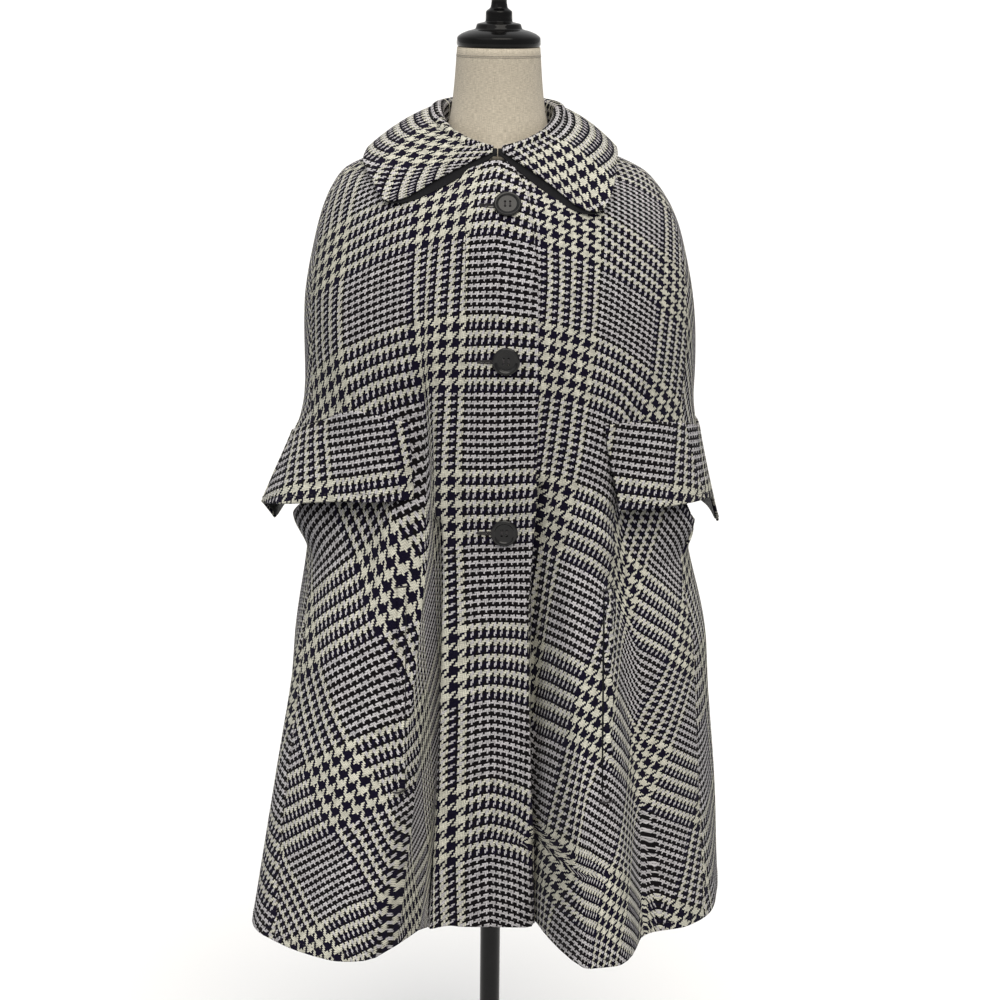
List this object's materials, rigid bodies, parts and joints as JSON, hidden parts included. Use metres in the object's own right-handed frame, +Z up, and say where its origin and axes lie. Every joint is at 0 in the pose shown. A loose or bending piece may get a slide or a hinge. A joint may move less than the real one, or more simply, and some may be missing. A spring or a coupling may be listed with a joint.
{
  "type": "poncho coat on dress form",
  "caption": "Checked wool poncho coat with collar, cuffed side openings and welt pockets, buttoned down the front, on a limbless dress form with a black stand.",
  "frame": {"origin": "on the floor at the centre of the round base's underside, on the axis of the pole", "axes": "+Z up along the pole; the coat's front faces -Y; the wearer's left side is at +X"},
  "size_m": [0.546, 0.5158, 1.4685],
  "materials": {
    "check_wool": "brushed wool coating in a woven houndstooth and fine check, off-white and near-black",
    "dark_lining": "black cloth facing and lining",
    "button_dark": "polished dark horn look",
    "linen": "plain woven linen cover in grey beige",
    "cap_black": "turned wood in black gloss lacquer",
    "stand_black": "black gloss paint"
  },
  "bodies": {
    "root": {"front_right": "check_wool", "front_left": "check_wool", "back": "check_wool", "cuff_front_right": "check_wool", "cuff_back_right": "check_wool", "cuff_lining_right": "dark_lining", "pocket_welt_right": "check_wool", "cuff_front_left": "check_wool", "cuff_back_left": "check_wool", "cuff_lining_left": "dark_lining", "pocket_welt_left": "check_wool", "collar_top": "check_wool", "collar_under": "dark_lining", "button_1": "button_dark", "button_2": "button_dark", "button_3": "button_dark", "dress_form": "linen", "neck_cap": "cap_black", "pole": "stand_black", "base": "stand_black"}
  },
  "joints": []
}
